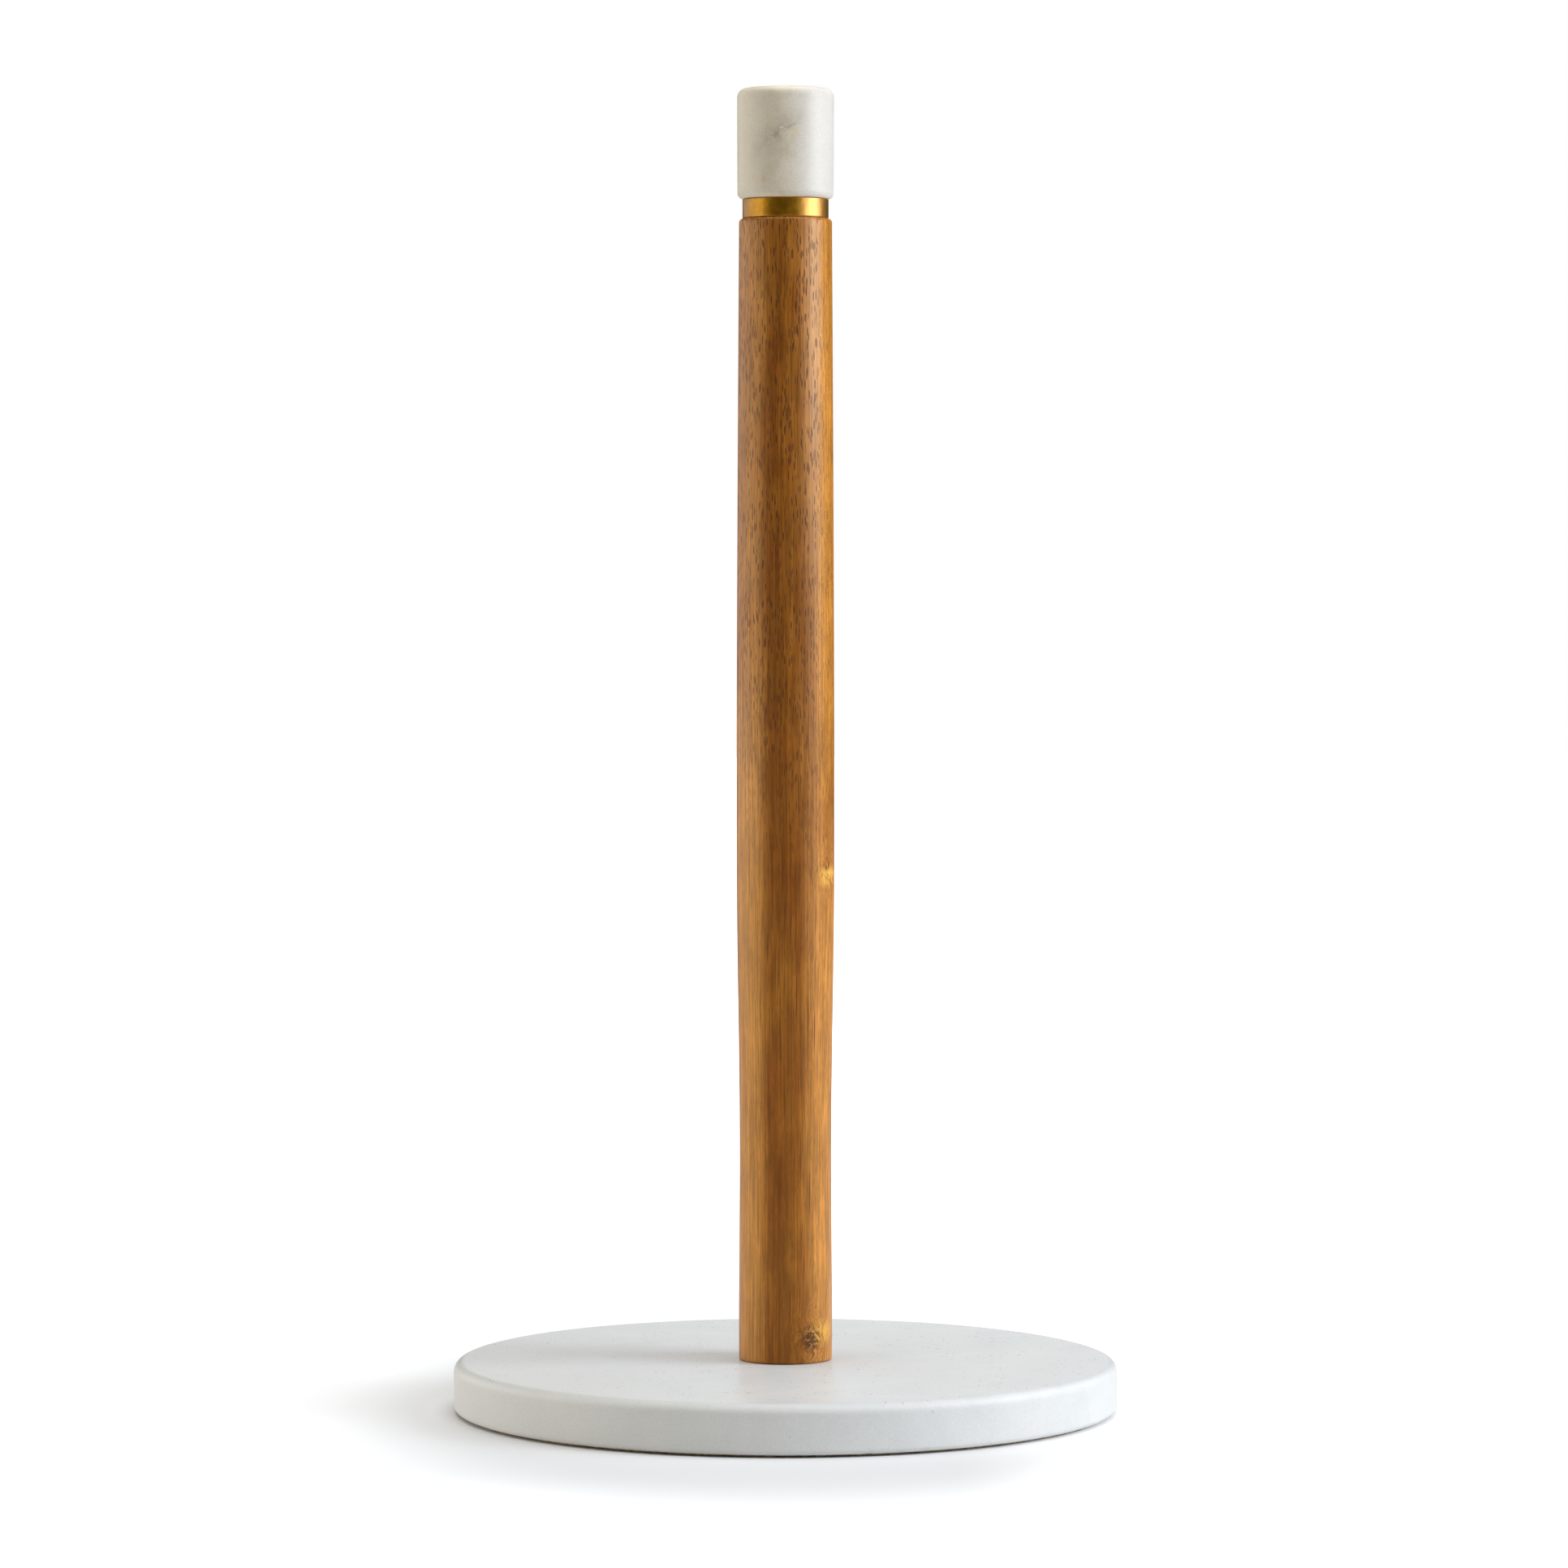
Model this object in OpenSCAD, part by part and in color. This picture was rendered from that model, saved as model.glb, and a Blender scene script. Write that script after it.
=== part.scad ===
// Paper towel holder: a round stone base, a turned wooden post and a stone knob on a brass ring.
// Millimetres, +Z up. The origin is the centre of the underside of the cork pad, where the
// holder stands. Everything is turned about the Z axis.

/* [Base] */
// Diameter of the stone base
base_d = 178; // [140:1:220]
// Thickness of the stone base
base_h = 13; // [10.5:0.1:20]
// Radius that rounds the top edge of the base
base_top_fillet = 2.7; // [0.5:0.1:4]
// Radius that rounds the bottom edge of the base
base_bottom_fillet = 1.5; // [0.5:0.1:3]
// Thickness of the cork pad under the base
pad_h = 0.6; // [0.5:0.1:3]
// Distance from the edge of the base in to the edge of the pad
pad_inset = 2; // [1.5:0.5:10]
// Distance from the counterbore out to the edge of the hole in the pad
pad_hole_margin = 2; // [0.5:0.5:8]

/* [Post] */
// Height of the wooden post from the base to the shoulder under the ring
post_h = 305.5; // [240:0.5:370]
// Diameter of the post just above its foot
post_foot_d = 25; // [23:0.1:30]
// Diameter of the post at its waist
post_waist_d = 24.6; // [23:0.1:30]
// Diameter of the post at its belly
post_belly_d = 26.15; // [23:0.05:32]
// Diameter of the post at its shoulder
post_top_d = 24.8; // [23:0.1:30]
// Height above the base where the foot is at its full diameter
post_foot_z = 11; // [6:1:20]
// Height above the base of the waist
post_waist_z = 56; // [40:1:70]
// Height above the base where the belly starts
post_belly_low_z = 136; // [100:1:150]
// Height above the base where the belly ends
post_belly_high_z = 156; // [152:1:200]
// Radius that rounds the foot of the post
post_foot_fillet = 0.7; // [0.3:0.1:1.5]
// Radius that rounds the shoulder of the post
post_top_fillet = 1; // [0.3:0.1:1.5]

/* [Brass ring] */
// Distance from the edge of the post's shoulder in to the outside of the ring
ferrule_step = 0.9; // [0:0.1:2]
// Height of the ring
ferrule_h = 5.2; // [3.5:0.1:8]
// Wall of the ring
ferrule_wall = 1.4; // [0.8:0.1:2]
// Chamfer on the outside edges of the ring
ferrule_chamfer = 0.25; // [0.1:0.05:0.6]

/* [Knob] */
// Diameter of the stone knob
knob_d = 25.9; // [21:0.1:32]
// Height of the stone knob
knob_h = 29.4; // [24:0.1:40]
// Radius that rounds the top edge of the knob
knob_top_fillet = 2.4; // [0.5:0.1:4]
// Radius that rounds the bottom edge of the knob
knob_bottom_fillet = 1.6; // [0.5:0.1:2]

/* [Base bolt] */
// Thread diameter of the base bolt
bolt_d = 6; // [5:0.1:7.2]
// Length of the bolt inside the post
bolt_reach = 20.5; // [14:0.1:26]
// Diameter of the bolt's button head
bolt_head_d = 10.5; // [8.7:0.1:13]
// Height of the bolt's button head
bolt_head_h = 3.3; // [2.5:0.1:4]
// Height of the straight rim of the button head
bolt_rim_h = 0.8; // [0.3:0.1:1.2]
// Diameter of the flat crown of the button head
bolt_crown_d = 6; // [5.9:0.1:7.5]
// Hex key that turns the bolt, across its flats
hex_key = 4; // [3:0.1:5]
// Depth of the hex socket
hex_depth = 2; // [1.5:0.1:2.4]
// Height of the bolt head above the underside of the stone
head_recess = 0.2; // [0:0.1:1]
// Outside diameter of the spring washer
spring_washer_d = 11.8; // [9.6:0.1:14]
// Thickness of the spring washer
spring_washer_h = 1.6; // [1:0.1:2]
// Gap at the split of the spring washer
spring_split = 1.2; // [0.5:0.1:2]
// Outside diameter of the flat washer and of the fibre washer
flat_washer_d = 18; // [14:0.1:24]
// Thickness of the flat washer
flat_washer_h = 1.6; // [1:0.1:2]
// Thickness of the fibre washer
fibre_washer_h = 0.8; // [0.5:0.1:1.5]

/* [Threaded inserts] */
// Length of each threaded insert
insert_l = 15; // [10:0.5:18]
// Wall of an insert between its bore and its core
insert_wall = 1.45; // [1:0.05:2]
// Height of the ridges that bite into the wood
insert_ridge = 0.5; // [0.2:0.1:0.8]
// Distance between ridges
insert_ridge_pitch = 2.5; // [1.5:0.1:4]
// Hex key that drives an insert into the wood, across its flats
insert_key = 6.5; // [6.3:0.1:7]
// Depth of the hex at the mouth of an insert
insert_key_depth = 3; // [2:0.5:5]
// Depth of an insert below the end of the wood
insert_recess = 0.5; // [0:0.1:2]

/* [Knob stud] */
// Thread diameter of the stud
stud_d = 6; // [5:0.1:7.2]
// Length of the stud inside the knob
stud_in_knob = 19.5; // [14:0.1:22]
// Length of the stud inside the post
stud_in_post = 15.3; // [10:0.1:20]
// Chamfer on the tips of the stud and of the bolt
tip_chamfer = 0.6; // [0.3:0.1:1]

/* [Clearances] */
// Radial clearance between a screw and the thread it runs in
thread_clearance = 0.05; // [0.02:0.01:0.1]
// Radial clearance of the bolt in the stone
bolt_hole_clearance = 0.5; // [0.3:0.1:1]
// Radial clearance of the bolt in its washers
washer_clearance = 0.2; // [0.1:0.05:0.4]
// Radial clearance of the washers in their counterbore
counterbore_clearance = 1; // [0.5:0.1:3]
// Radial clearance of the ring on its tenon
ferrule_clearance = 0.15; // [0.05:0.05:0.4]
// Clearance between the end of the tenon and the knob
tenon_gap = 0.2; // [0.1:0.1:1]
// Clearance past the tip of a screw in a blind hole
tip_clearance = 1.5; // [0.5:0.5:4]

/* [Hidden] */

$fn = 96;
eps = 0.01;               // how far a cutter runs past the face that it cuts
profile_steps = 16;       // straight steps along each curved stretch of the post
fillet_steps = 5;         // straight steps round each fillet of the post
belly_power = 1.5;        // how the post tapers from its belly to its shoulder
flats_to_corners = 1 / cos(30);

stone_white = [0.87, 0.88, 0.88];
stone_warm = [0.91, 0.90, 0.87];
acacia = [0.66, 0.44, 0.26];
cork = [0.60, 0.44, 0.28];
fibre_red = [0.45, 0.20, 0.14];
steel = [0.62, 0.63, 0.65];
brass = [0.80, 0.62, 0.24];

// Levels, from the table up
base_z = pad_h;
post_z = base_z + base_h;
shoulder_z = post_z + post_h;
knob_z = shoulder_z + ferrule_h;
tenon_top_z = knob_z - tenon_gap;

// The bolt's stack, from its head up to the ceiling of the counterbore
head_top_z = base_z + head_recess + bolt_head_h;
flat_washer_z = head_top_z + spring_washer_h;
fibre_washer_z = flat_washer_z + flat_washer_h;
ceiling_z = fibre_washer_z + fibre_washer_h;
counterbore_d = flat_washer_d + 2 * counterbore_clearance;
pad_hole_d = counterbore_d + 2 * pad_hole_margin;

// The ring and its tenon, and the holes in the ends of the wood
ferrule_d = post_top_d - 2 * ferrule_step;
ferrule_bore_d = ferrule_d - 2 * ferrule_wall;
tenon_d = ferrule_bore_d - 2 * ferrule_clearance;
foot_core_d = insert_core_d(bolt_d);
top_core_d = insert_core_d(stud_d);
foot_hole_h = max(bolt_reach, insert_recess + insert_l) + tip_clearance;
top_hole_h = max(stud_in_post, insert_recess + insert_l) + tip_clearance;

// The knob's fillet leaves a flat seat on at least half of the ring's wall
knob_seat_fillet = max(0.1, min(knob_bottom_fillet, (knob_d - ferrule_d + ferrule_wall) / 2));

function bore_d(screw_d) = screw_d + 2 * thread_clearance;
function insert_core_d(screw_d) = bore_d(screw_d) + 2 * insert_wall;

// Points on an arc about (x, z), from one angle to another
function arc(x, z, r, from, to) = [
    for (i = [0 : fillet_steps])
        let (a = from + (to - from) * i / fillet_steps)
        [x + r * cos(a), z + r * sin(a)]
];

// 0 to 1 along a smooth S
function ease(t) = (1 - cos(180 * t)) / 2;

// Radius of the post at a height above the base: foot, waist, belly, then the taper to the top
function post_r(z) =
    z < post_foot_z ? post_foot_d / 2
    : z < post_waist_z
        ? blend(post_foot_d, post_waist_d, ease((z - post_foot_z) / (post_waist_z - post_foot_z)))
    : z < post_belly_low_z
        ? blend(post_waist_d, post_belly_d, ease((z - post_waist_z) / (post_belly_low_z - post_waist_z)))
    : z < post_belly_high_z ? post_belly_d / 2
    : blend(post_belly_d, post_top_d,
        pow(min(1, (z - post_belly_high_z) / (post_h - post_top_fillet - post_belly_high_z)), belly_power));

// Radius between two diameters
function blend(from_d, to_d, t) = (from_d + (to_d - from_d) * t) / 2;

// Points up one curved stretch of the post, without its last point
function stretch(from, to) = [
    for (i = [0 : profile_steps - 1])
        let (z = from + (to - from) * i / profile_steps)
        [post_r(z), z]
];

// Solid of revolution with rounded edges, standing on z = 0
module rounded_disc(d, h, top_fillet, bottom_fillet) {
    rotate_extrude()
        difference() {
            square([d / 2, h]);
            translate([d / 2 - top_fillet, h - top_fillet])
                corner_waste(top_fillet);
            translate([d / 2 - bottom_fillet, bottom_fillet])
                mirror([0, 1])
                    corner_waste(bottom_fillet);
        }
}

// What a fillet takes off an outside corner
module corner_waste(fillet) {
    difference() {
        square(fillet + eps);
        circle(fillet);
    }
}

// Cylinder with a chamfer at its top end
module tipped_rod(d, h) {
    cylinder(d = d, h = h - tip_chamfer);
    translate([0, 0, h - tip_chamfer - eps])
        cylinder(d1 = d, d2 = d - 2 * tip_chamfer, h = tip_chamfer + eps);
}

module washer(outer_d, h) {
    difference() {
        cylinder(d = outer_d, h = h);
        translate([0, 0, -eps])
            cylinder(d = bolt_d + 2 * washer_clearance, h = h + 2 * eps);
    }
}

module hex_cut(across_flats, depth) {
    cylinder(d = across_flats * flats_to_corners, h = depth, $fn = 6);
}

// Threaded insert with its mouth at z = 0 and its body above. Ridges bite into the wood.
module threaded_insert(screw_d) {
    core_r = insert_core_d(screw_d) / 2;
    ridges = floor((insert_l - insert_key_depth) / insert_ridge_pitch);
    difference() {
        union() {
            cylinder(r = core_r, h = insert_l);
            for (i = [1 : ridges])
                translate([0, 0, insert_key_depth + (i - 0.5) * insert_ridge_pitch])
                    insert_ridge_ring(core_r);
        }
        translate([0, 0, -eps])
            cylinder(d = bore_d(screw_d), h = insert_l + 2 * eps);
        translate([0, 0, -eps])
            hex_cut(insert_key, insert_key_depth + eps);
    }
}

// One sharp ridge round an insert, at z = 0
module insert_ridge_ring(core_r) {
    rotate_extrude()
        polygon([
            [core_r - insert_wall / 2, -insert_ridge],
            [core_r, -insert_ridge],
            [core_r + insert_ridge, 0],
            [core_r, insert_ridge],
            [core_r - insert_wall / 2, insert_ridge]
        ]);
}

module base_slab() {
    color(stone_white)
        difference() {
            translate([0, 0, base_z])
                rounded_disc(base_d, base_h, base_top_fillet, base_bottom_fillet);
            translate([0, 0, base_z - eps])
                cylinder(d = counterbore_d, h = ceiling_z - base_z + eps);
            translate([0, 0, base_z])
                cylinder(d = bolt_d + 2 * bolt_hole_clearance, h = base_h + eps);
        }
}

module base_pad() {
    color(cork)
        difference() {
            cylinder(d = base_d - 2 * pad_inset, h = pad_h);
            translate([0, 0, -eps])
                cylinder(d = pad_hole_d, h = pad_h + 2 * eps);
        }
}

module fibre_washer() {
    color(fibre_red)
        translate([0, 0, fibre_washer_z])
            washer(flat_washer_d, fibre_washer_h);
}

module flat_washer() {
    color(steel)
        translate([0, 0, flat_washer_z])
            washer(flat_washer_d, flat_washer_h);
}

module spring_washer() {
    color(steel)
        translate([0, 0, head_top_z])
            difference() {
                washer(spring_washer_d, spring_washer_h);
                translate([0, -spring_split / 2, -eps])
                    cube([spring_washer_d, spring_split, spring_washer_h + 2 * eps]);
            }
}

// Button head below, shank through the stone, thread in the foot of the post
module base_bolt() {
    color(steel)
        difference() {
            union() {
                translate([0, 0, head_top_z - bolt_head_h])
                    button_head();
                translate([0, 0, head_top_z - eps])
                    tipped_rod(bolt_d, post_z + bolt_reach - head_top_z + eps);
            }
            translate([0, 0, head_top_z - bolt_head_h - eps])
                hex_cut(hex_key, hex_depth + eps);
        }
}

// Domed head with its crown at z = 0 and its flat bearing face at the top
module button_head() {
    crown_r = bolt_crown_d / 2;
    dome_h = bolt_head_h - bolt_rim_h;
    dome_z = (pow(bolt_head_d / 2, 2) - pow(crown_r, 2) + pow(dome_h, 2)) / (2 * dome_h);
    intersection() {
        cylinder(d = bolt_head_d, h = bolt_head_h);
        translate([0, 0, dome_z])
            sphere(norm([dome_z, crown_r]));
    }
}

module post() {
    foot_r = post_r(0);
    top_r = post_r(post_h);
    color(acacia)
        translate([0, 0, post_z])
            difference() {
                rotate_extrude()
                    polygon(concat(
                        [[0, 0]],
                        arc(foot_r - post_foot_fillet, post_foot_fillet, post_foot_fillet, -90, 0),
                        stretch(post_foot_z, post_waist_z),
                        stretch(post_waist_z, post_belly_low_z),
                        [[post_r(post_belly_low_z), post_belly_low_z]],
                        stretch(post_belly_high_z, post_h - post_top_fillet),
                        arc(top_r - post_top_fillet, post_h - post_top_fillet, post_top_fillet, 0, 90),
                        [[tenon_d / 2, post_h], [tenon_d / 2, post_h + ferrule_h - tenon_gap]],
                        [[0, post_h + ferrule_h - tenon_gap]]
                    ));
                translate([0, 0, -eps])
                    cylinder(d = foot_core_d, h = foot_hole_h + eps);
                translate([0, 0, post_h + ferrule_h - tenon_gap - top_hole_h])
                    cylinder(d = top_core_d, h = top_hole_h + eps);
            }
}

module foot_insert() {
    color(brass)
        translate([0, 0, post_z + insert_recess])
            threaded_insert(bolt_d);
}

module top_insert() {
    color(brass)
        translate([0, 0, tenon_top_z - insert_recess])
            mirror([0, 0, 1])
                threaded_insert(stud_d);
}

module ferrule() {
    color(brass)
        translate([0, 0, shoulder_z])
            rotate_extrude()
                polygon([
                    [ferrule_bore_d / 2, 0],
                    [ferrule_d / 2 - ferrule_chamfer, 0],
                    [ferrule_d / 2, ferrule_chamfer],
                    [ferrule_d / 2, ferrule_h - ferrule_chamfer],
                    [ferrule_d / 2 - ferrule_chamfer, ferrule_h],
                    [ferrule_bore_d / 2, ferrule_h]
                ]);
}

// Chamfered at both ends, half of its length in the knob and half in the post
module knob_stud() {
    color(steel) {
        translate([0, 0, knob_z])
            tipped_rod(stud_d, stud_in_knob);
        translate([0, 0, knob_z + eps])
            mirror([0, 0, 1])
                tipped_rod(stud_d, knob_z - tenon_top_z + stud_in_post + eps);
    }
}

module knob() {
    color(stone_warm)
        translate([0, 0, knob_z])
            difference() {
                rounded_disc(knob_d, knob_h, knob_top_fillet, knob_seat_fillet);
                translate([0, 0, -eps])
                    cylinder(d = bore_d(stud_d), h = stud_in_knob + tip_clearance + eps);
            }
}

base_slab();
base_pad();
fibre_washer();
flat_washer();
spring_washer();
base_bolt();
post();
foot_insert();
top_insert();
ferrule();
knob_stud();
knob();
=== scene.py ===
"""Looks for the paper towel holder: marble base and knob, turned acacia post, brass ring, steel fixings."""

import math

import bpy
import numpy as np
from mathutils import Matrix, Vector


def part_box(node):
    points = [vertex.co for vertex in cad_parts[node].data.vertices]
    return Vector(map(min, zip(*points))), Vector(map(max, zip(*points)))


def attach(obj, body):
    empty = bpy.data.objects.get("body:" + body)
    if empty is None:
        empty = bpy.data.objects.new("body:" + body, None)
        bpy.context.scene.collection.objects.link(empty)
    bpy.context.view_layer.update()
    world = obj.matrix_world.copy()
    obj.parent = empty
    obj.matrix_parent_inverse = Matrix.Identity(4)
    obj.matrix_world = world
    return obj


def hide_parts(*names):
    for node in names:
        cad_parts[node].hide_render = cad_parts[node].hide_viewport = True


MM = 0.001
TAU = 2 * math.pi
UP = Vector((0, 0, 1))

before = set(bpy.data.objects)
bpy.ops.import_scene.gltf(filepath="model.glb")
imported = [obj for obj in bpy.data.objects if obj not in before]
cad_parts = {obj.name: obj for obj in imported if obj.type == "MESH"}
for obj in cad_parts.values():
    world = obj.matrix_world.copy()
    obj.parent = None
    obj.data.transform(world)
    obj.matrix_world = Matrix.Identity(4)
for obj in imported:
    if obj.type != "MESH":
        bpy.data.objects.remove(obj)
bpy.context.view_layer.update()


def levels(node):
    """Lowest z, highest z and largest radius of a CAD node, in metres."""
    low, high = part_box(node)
    return low.z, high.z, (high.x - low.x) / 2


# ---------------------------------------------------------------- sizes, in metres
slab_z, slab_top, slab_r = levels("base_slab")
pad_z, pad_top, pad_r = levels("base_pad")
fibre_z, fibre_top, fibre_r = levels("fibre_washer")
flat_z, flat_top, flat_r = levels("flat_washer")
spring_z, spring_top, spring_r = levels("spring_washer")
bolt_z, bolt_top, head_r = levels("base_bolt")
post_z, tenon_top, _ = levels("post")
foot_insert_z, foot_insert_top, insert_r = levels("foot_insert")
top_insert_z, top_insert_top, _ = levels("top_insert")
ring_z, ring_top, ring_r = levels("ferrule")
stud_z, stud_top, stud_r = levels("knob_stud")
knob_z, knob_top, knob_r = levels("knob")

head_top = spring_z  # the bolt's head ends where its spring washer starts
ceiling_z = fibre_top  # the counterbore ends on the fibre washer
counterbore_r = flat_r + 1 * MM
pad_hole_r = counterbore_r + 2 * MM
bolt_hole_r = stud_r + 0.5 * MM
insert_core_r = insert_r - 0.5 * MM
insert_bore_r = stud_r + 0.05 * MM
washer_bore_r = stud_r + 0.2 * MM
ring_bore_r = ring_r - 1.4 * MM
tenon_r = ring_bore_r - 0.15 * MM
thread_depth = 0.6 * MM
thread_pitch = 1 * MM
rod_tip_r = stud_r - 0.7 * MM
post_end = 2 * MM  # the post's wall is read from CAD up to this far from its foot and shoulder
SHARP_ANGLE = math.radians(35)


# ---------------------------------------------------------------- mesh building
def circle(sides):
    """Angles spaced evenly round Z, in radians."""
    return np.arange(sides) * TAU / sides


def steps(start, end, count):
    """count + 1 values from start to end, both ends included."""
    return np.linspace(start, end, count + 1)


def ring_points(radius, height, angles):
    """One ring about Z. radius and height are numbers, or one number per angle."""
    r = np.broadcast_to(radius, angles.shape)
    z = np.broadcast_to(height, angles.shape)
    return np.stack([r * np.cos(angles), r * np.sin(angles), z], axis=1)


def arc(r, z, radius, start, end, count=8):
    """(r, z) points on a round corner about (r, z), from one angle to another in degrees."""
    turns = np.radians(steps(start, end, count))
    return [(r + radius * math.cos(a), z + radius * math.sin(a)) for a in turns]


def skin(name, rings, closed=False):
    """A mesh through rings of equal point counts.

    closed joins the last ring to the first. Otherwise both ends get a cap.
    """
    count, sides = len(rings), len(rings[0])
    points = [tuple(p) for ring in rings for p in ring]
    faces = []
    for k in range(count if closed else count - 1):
        low, high = k * sides, (k + 1) % count * sides
        for i in range(sides):
            j = (i + 1) % sides
            faces.append((low + i, low + j, high + j, high + i))
    if not closed:
        for ring, order in ((0, -1), (count - 1, 1)):
            centre = len(points)
            points.append(tuple(np.mean(rings[ring], axis=0)))
            start = ring * sides
            for i in range(sides):
                pair = (start + i, start + (i + 1) % sides)[::order]
                faces.append((*pair, centre))
    mesh = bpy.data.meshes.new(name)
    mesh.from_pydata(points, [], faces)
    mesh.validate()
    mesh.shade_smooth()
    mesh.set_sharp_from_angle(angle=SHARP_ANGLE)
    piece = bpy.data.objects.new(name, mesh)
    bpy.context.scene.collection.objects.link(piece)
    return piece


def lathe(name, outline, sides=192, closed=False):
    """A mesh turned about Z from (r, z) points, in metres, that go up the outside."""
    angles = circle(sides)
    return skin(name, [ring_points(r, z, angles) for r, z in outline], closed)


def place(piece, body, node, material):
    """Puts a finished piece on its body in place of its CAD node."""
    piece.data.materials.append(material)
    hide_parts(node)
    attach(piece, body)


def ripple(angles, waves, size, seed):
    """A smooth closed wobble round the circle, up to about size each way."""
    draw = np.random.default_rng(seed)
    orders = range(2, 2 + waves)
    total = sum(np.cos(k * angles + draw.uniform(0, TAU)) / k for k in orders)
    return size * total / sum(1 / k for k in orders)


def thread_r(angles, z, crest):
    """Radius of a right-hand screw thread, with flat crests and roots."""
    steepness, flat = 1.7, 0.35
    phase = (z / thread_pitch - angles / TAU) % 1
    flank = np.clip(abs(2 * phase - 1) * steepness - flat, 0, 1)
    return crest - thread_depth * flank


def hexagon_r(angles, across_flats):
    """Radius of a hexagon. Its corners fall on points of a circle that has a multiple of 12 sides."""
    half_side = math.pi / 6
    return across_flats / 2 / np.cos((angles + half_side) % (2 * half_side) - half_side)


def threaded_rings(angles, start, end):
    """Rings up the outside thread of the bolt or the stud."""
    rows_per_turn = 10
    count = round(abs(end - start) / thread_pitch * rows_per_turn)
    return [ring_points(thread_r(angles, z, stud_r), z, angles) for z in steps(start, end, count)]


# ---------------------------------------------------------------- pieces
SLAB_TOP_FILLET = 2.7 * MM
SLAB_BOTTOM_FILLET = 1.5 * MM
# Small chips in the slab's bottom edge: angle from +X in radians, depth, and half width in radians.
SLAB_CHIPS = (
    (-1.33, 0.5 * MM, 0.008),
    (-1.95, 0.35 * MM, 0.006),
    (-0.71, 0.3 * MM, 0.006),
    (0.6, 0.45 * MM, 0.009),
)


def slab_fillet(angles, uneven, radius, edge_z, side):
    """Rings round an edge of the slab: side is 1 for the top, and -1 for the bottom, which has chips."""
    start, end = (0, 90) if side > 0 else (-90, 0)
    rings = []
    for a in np.radians(steps(start, end, 10)):
        size = radius + uneven
        r = slab_r - size + size * math.cos(a)
        z = edge_z - side * size + size * math.sin(a)
        if side < 0:
            for turn, depth, width in SLAB_CHIPS:
                r = r - depth * np.exp(-((angles - turn % TAU) / width) ** 2) * abs(math.sin(a))
        rings.append(ring_points(r, z, angles))
    return rings


def make_slab():
    """The stone disc, with its counterbore from beneath and hand-finished edges."""
    angles = circle(720)
    uneven = ripple(angles, 9, 0.25 * MM, 3)
    bottom_share = 0.4
    hole_edge, sway, clear = 0.3 * MM, 0.03 * MM, 0.7 * MM
    bottom_flat_r, top_flat_r = slab_r - 3 * MM, slab_r - 4 * MM
    wall_z, wall_top = slab_z + SLAB_BOTTOM_FILLET + clear, slab_top - SLAB_TOP_FILLET - clear
    wall_r = slab_r - sway + ripple(angles, 5, sway, 11)
    flat_bottom = steps(counterbore_r + hole_edge, bottom_flat_r, 12)
    flat_top = steps(top_flat_r, bolt_hole_r + hole_edge, 30)
    rings = [ring_points(r, slab_z, angles) for r in flat_bottom]
    rings += slab_fillet(angles, uneven * bottom_share, SLAB_BOTTOM_FILLET, slab_z, -1)
    rings += [ring_points(wall_r, z, angles) for z in steps(wall_z, wall_top, 6)]
    rings += slab_fillet(angles, uneven, SLAB_TOP_FILLET, slab_top, 1)
    rings += [ring_points(r, slab_top, angles) for r in flat_top]
    for r, z in (
        (bolt_hole_r, slab_top - hole_edge),
        (bolt_hole_r, ceiling_z),
        (counterbore_r, ceiling_z),
        (counterbore_r, slab_z + hole_edge),
    ):
        rings.append(ring_points(r, z, angles))
    return skin("marble_base", rings, closed=True)


def make_pad():
    """The cork pad, with a slightly ragged cut edge."""
    angles = circle(360)
    ragged = ripple(angles, 60, 0.25 * MM, 5) - 0.3 * MM
    flat_edge_r = pad_r - 1 * MM
    cut_z, cut_top = pad_z + 0.1 * MM, pad_top - 0.05 * MM
    rings = [ring_points(r, pad_z, angles) for r in steps(pad_hole_r, flat_edge_r, 20)]
    rings += [ring_points(pad_r + ragged, z, angles) for z in steps(cut_z, cut_top, 3)]
    rings += [ring_points(r, pad_top, angles) for r in (flat_edge_r, pad_hole_r)]
    return skin("cork_pad", rings, closed=True)


def post_outline():
    """Heights and radii up the outside of the CAD post, from its own points."""
    points = np.array([v.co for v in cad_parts["post"].data.vertices])
    radius, z = np.hypot(points[:, 0], points[:, 1]), points[:, 2]
    outside = (radius > tenon_r + 1 * MM) & (z > post_z + post_end) & (z < ring_z - post_end)
    heights = np.unique(np.round(z[outside], 6))
    same_height = 0.01 * MM
    radii = [radius[outside & (abs(z - level) < same_height)].max() for level in heights]
    return heights, np.array(radii)


def make_post():
    """The turned post, with a rounded foot, a soft shoulder and its tenon."""
    heights, radii = post_outline()
    foot_fillet, shoulder_fillet, edge = 0.8 * MM, 1.1 * MM, 0.3 * MM
    foot_hole_top, top_hole_floor = foot_insert_top + 8 * MM, top_insert_z - 3 * MM

    def wall(z):
        return float(np.interp(z, heights, radii))

    foot_r, shoulder_r = wall(post_z), wall(ring_z)
    outline = [(insert_core_r, foot_hole_top), (insert_core_r, post_z + edge)]
    outline += [(r, post_z) for r in steps(insert_core_r + edge, foot_r - foot_fillet - edge, 6)]
    outline += arc(foot_r - foot_fillet, post_z + foot_fillet, foot_fillet, -90, 0)
    outline += [(wall(z), z) for z in steps(post_z + post_end, ring_z - post_end, 230)]
    outline += arc(shoulder_r - shoulder_fillet, ring_z - shoulder_fillet, shoulder_fillet, 0, 90)
    outline += [(tenon_r, ring_z), (tenon_r, tenon_top - edge), (tenon_r - edge, tenon_top)]
    outline += [(insert_core_r + edge, tenon_top), (insert_core_r, tenon_top - edge)]
    outline += [(insert_core_r, top_hole_floor)]
    return lathe("acacia_post", outline, sides=240)


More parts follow.
